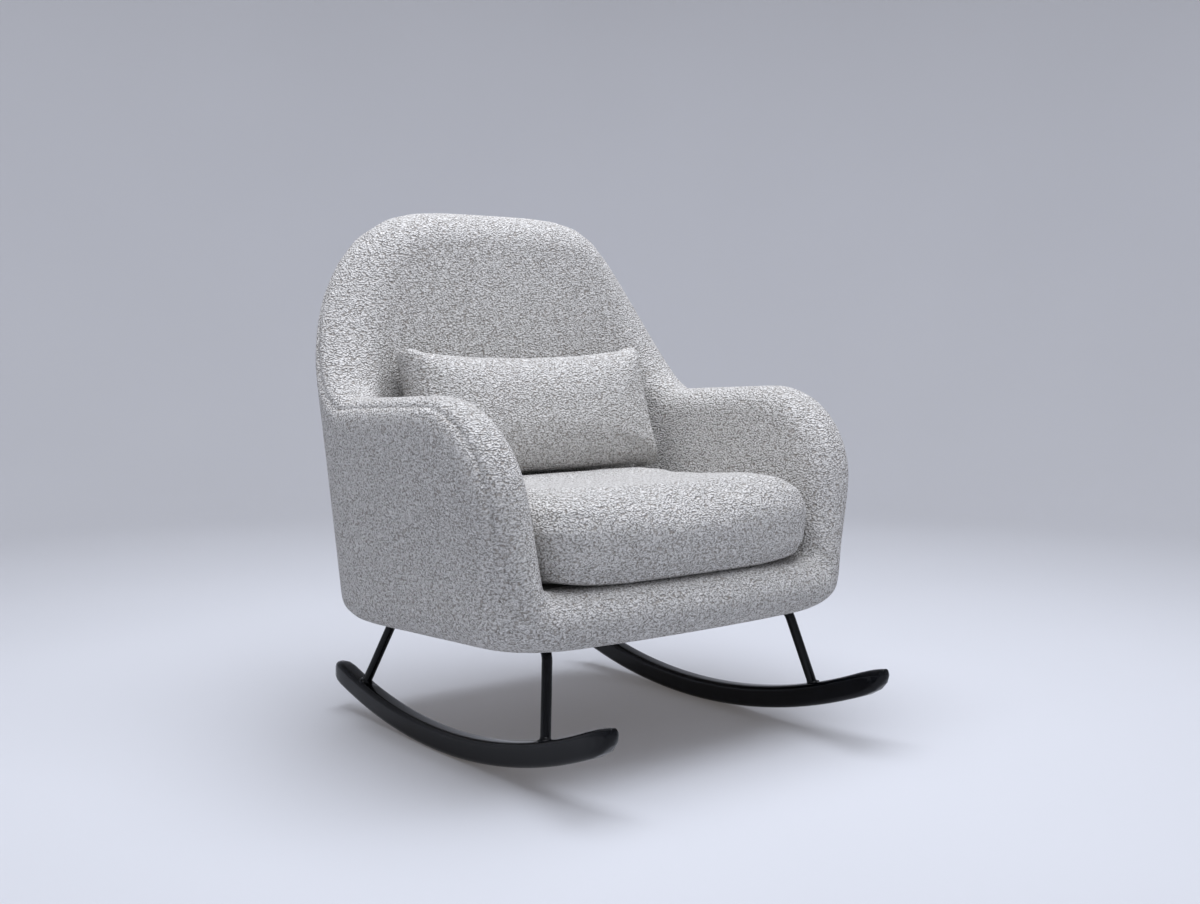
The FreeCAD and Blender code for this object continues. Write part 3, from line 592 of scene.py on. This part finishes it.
# Plain cotton: a tight over-and-under weave, drawn coarser than its 0.5 mm threads so it shows.
cotton = new_material("deck_cotton")
place = add(cotton, "TexCoord", {})
warp = add(cotton, "TexWave", {"Scale": 1 / 0.006, "bands_direction": "X"},
           {"Vector": place.outputs["Object"]})
weft = add(cotton, "TexWave", {"Scale": 1 / 0.006, "bands_direction": "Y"},
           {"Vector": place.outputs["Object"]})
weave = add(cotton, "Math", {"operation": "MULTIPLY"}, {0: warp.outputs["Fac"], 1: weft.outputs["Fac"]})
threads = add(cotton, "Mix", {"data_type": "RGBA", 6: linear("#A5A29C"), 7: linear("#C4C1BB")},
              {0: weave.outputs[0]})
relief = add(cotton, "Bump", {"Strength": 0.4, "Distance": 0.0004}, {"Height": weave.outputs[0]})
plain = add(cotton, "BsdfPrincipled", {"Roughness": 0.92, "Specular IOR Level": 0.2},
            {"Base Color": threads.outputs[2], "Normal": relief.outputs[0]})
add(cotton, "OutputMaterial", {}, {"Surface": plain.outputs[0]})
deck.data.materials.append(cotton)
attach(deck, "chair")
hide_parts("deck_pad", "deck_cloth")

# Dust cover: thin black felted cloth under the boards, cut out round the plates, stretched
# and stapled along its edges, so it sags a little in the middle.

cover_sag, cover_cell, cover_thickness = 0.003, 0.018, 0.0006
dust = merged_copy("dust_cover", "dust_cover_cloth")
down = Vector(plate_down)
bpy.ops.object.mode_set(mode="EDIT")
bpy.ops.mesh.select_mode(type="FACE")
bpy.ops.mesh.select_all(action="DESELECT")
bpy.ops.object.mode_set(mode="OBJECT")
for face in dust.data.polygons:
    face.select = face.normal.dot(down) < 0.9
bpy.ops.object.mode_set(mode="EDIT")
bpy.ops.mesh.delete(type="FACE")
bpy.ops.mesh.select_all(action="SELECT")
bpy.ops.mesh.dissolve_limited(angle_limit=math.radians(2))
low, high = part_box("dust_cover")
for axis in (0, 1):
    spot = low[axis] + cover_cell
    while spot < high[axis]:
        where, way = [0, 0, 0], [0, 0, 0]
        where[axis], way[axis] = spot, 1
        bpy.ops.mesh.select_all(action="SELECT")
        bpy.ops.mesh.bisect(plane_co=where, plane_no=way)
        spot += cover_cell
bpy.ops.object.mode_set(mode="OBJECT")
places, normals = points_of(dust)
middle, half = (low + high) / 2, (high - low) / 2
slack = (np.clip(1 - ((places[:, 0] - middle[0]) / half[0]) ** 2, 0, 1)
         * np.clip(1 - ((places[:, 1] - middle[1]) / half[1]) ** 2, 0, 1))
move_points(dust, places + np.array(down) * (cover_sag * slack)[:, None])
only(dust)
wall = dust.modifiers.new("felt", "SOLIDIFY")
wall.thickness = cover_thickness
wall.offset = -1.0
bpy.ops.object.modifier_apply(modifier=wall.name)
bpy.ops.object.shade_smooth()

# Felted cloth: matt black fibres pressed flat, with a dotted bond pattern.
felt = new_material("black_felted_cloth")
place = add(felt, "TexCoord", {})
bond = add(felt, "TexVoronoi", {"Scale": 1 / 0.004, "Randomness": 0.2}, {"Vector": place.outputs["Object"]})
fibres = add(felt, "Mix", {"data_type": "RGBA", 6: linear("#121213"), 7: linear("#232325")},
             {0: bond.outputs["Distance"]})
relief = add(felt, "Bump", {"Strength": 0.4, "Distance": 0.0003}, {"Height": bond.outputs["Distance"]})
pressed = add(felt, "BsdfPrincipled", {"Roughness": 0.9, "Specular IOR Level": 0.25},
              {"Base Color": fibres.outputs[2], "Normal": relief.outputs[0]})
add(felt, "OutputMaterial", {}, {"Surface": pressed.outputs[0]})
dust.data.materials.append(felt)
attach(dust, "chair")
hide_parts("dust_cover")

# Seat cushion: a loose foam cushion in the same cloth, with round edges, that fills the space
# between the arms and hangs a little over the front rail. It swells under its cover.

cushion_grain, cushion_start, underside = 0.0065, 0.005, -0.8
cushion_press, cushion_stiffness, cushion_cap = 1.2, 40, 0.022
settle_along, settle_depth = [-0.28, -0.05, 0.04, 0.11], [0.009, 0.017, 0.017, 0.007]
corner_start, corner_end, corner_lift, corner_rear_y, corner_fade = 0.12, 0.27, 0.017, -0.12, 0.08
side_swell, side_start, side_fade = 0.004, 0.08, 0.14


def outline_of(piece):
    """The skin of a piece as it is now, to measure from later."""
    return BVHTree.FromObject(piece, bpy.context.evaluated_depsgraph_get())


def kept_inside(places, outline):
    """Points drawn back where they stand outside an earlier outline."""
    kept = places.copy()
    for index, point in enumerate(places):
        spot, normal, face, distance = outline.find_nearest(Vector(point))
        if (Vector(point) - spot).dot(normal) > 0:
            kept[index] = spot
    return kept


def swollen(piece, pressure, stiffness, cap, resting):
    """Lets the filling press the cover out, held where it rests, no point moving past the cap."""
    only(piece)
    start, normals = points_of(piece)
    held = piece.vertex_groups.new(name="rests")
    held.add([int(index) for index in np.nonzero(resting)[0]], 1.0, "REPLACE")
    filling = piece.modifiers.new("filling", "CLOTH")
    filling.settings.use_pressure = True
    filling.settings.uniform_pressure_force = pressure
    filling.settings.effector_weights.gravity = 0
    filling.settings.vertex_group_mass = held.name
    filling.settings.tension_stiffness = stiffness
    filling.settings.compression_stiffness = stiffness
    filling.settings.bending_stiffness = 2
    for step in range(1, 21):
        bpy.context.scene.frame_set(step)
    bpy.ops.object.modifier_apply(modifier=filling.name)
    bpy.context.scene.frame_set(1)
    piece.vertex_groups.clear()
    places, normals = points_of(piece)
    moves = places - start
    length = np.linalg.norm(moves, axis=1)[:, None]
    return start + moves * np.minimum(1, cap / np.maximum(length, 1e-9))


def refined(piece):
    """Splits each face of a finished cover once more, for a smooth edge."""
    only(piece)
    finer = piece.modifiers.new("finer", "SUBSURF")
    finer.levels = finer.render_levels = 1
    bpy.ops.object.modifier_apply(modifier=finer.name)
    bpy.ops.object.shade_smooth()


cushion = skin("seat_cushion", ["seat_cushion_cover", "seat_cushion_core"], cushion_grain)
relaxed(cushion, 4)

# In front of the pillow the seat has settled, the lower front corners curve up, and the top
# is level almost to its sides.
low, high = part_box("seat_cushion_cover")
places, normals = points_of(cushion)
tall = np.clip((places[:, 2] - low.z) / (high.z - low.z), 0, 1)
rounding = np.clip((np.abs(places[:, 0]) - corner_start) / (corner_end - corner_start), 0, 1) ** 2
rounding *= np.clip((corner_rear_y - places[:, 1]) / corner_fade, 0, 1)
places[:, 2] -= np.interp(places[:, 1], settle_along, settle_depth) * tall
places[:, 2] += corner_lift * rounding * (1 - tall)
places[:, 2] += side_swell * tall ** 2 * np.clip((np.abs(places[:, 0]) - side_start) / side_fade, 0, 1)
move_points(cushion, places)
relaxed(cushion, 4)
cushion_space = outline_of(cushion)
places, normals = points_of(cushion)
under = normals[:, 2] < underside
move_points(cushion, places - normals * (cushion_start * ~under)[:, None])
places = swollen(cushion, cushion_press, cushion_stiffness, cushion_cap, under)
move_points(cushion, kept_inside(places, cushion_space))
refined(cushion)
cushion.data.materials.append(boucle)
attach(cushion, "seat_cushion")
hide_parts("seat_cushion_cover", "seat_cushion_core")

# Lumbar pillow: two pieces of the cloth sewn round the edge and stuffed with loose fibre,
# leaning on the back and standing on the seat cushion.

pillow_grain, pillow_start = 0.005, 0.004
pillow_press, pillow_stiffness, pillow_cap = 2.5, 20, 0.022
pillow_sag, pillow_half_width, pillow_foot, ear_x = 0.006, 0.22, 0.02, 0.225
pillow_drop, pillow_lean = 0.006, math.radians(20)

pillow = skin("lumbar_pillow", ["pillow_cover", "pillow_filling"], pillow_grain)
relaxed(pillow, 4)

# It has sunk into the settled seat along the lean of the back.
places, normals = points_of(pillow)
down_the_back = np.array([0, math.sin(pillow_lean), -math.cos(pillow_lean)])
move_points(pillow, places + pillow_drop * down_the_back)
pillow_space = outline_of(pillow)
relaxed(pillow, 2)
low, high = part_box("pillow_cover")
places, normals = points_of(pillow)
places -= normals * (pillow_start * (np.abs(places[:, 0]) < ear_x))[:, None]
upper = np.clip((places[:, 2] - low.z) / (high.z - low.z), 0, 1) ** 2
places[:, 2] -= pillow_sag * upper * np.clip(1 - (places[:, 0] / pillow_half_width) ** 2, 0, 1)
move_points(pillow, places)
held = (places[:, 2] < low.z + pillow_foot) | (np.abs(places[:, 0]) > ear_x)
places = swollen(pillow, pillow_press, pillow_stiffness, pillow_cap, held)
move_points(pillow, kept_inside(places, pillow_space))
refined(pillow)
pillow.data.materials.append(boucle)
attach(pillow, "lumbar_pillow")
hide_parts("pillow_cover", "pillow_filling")
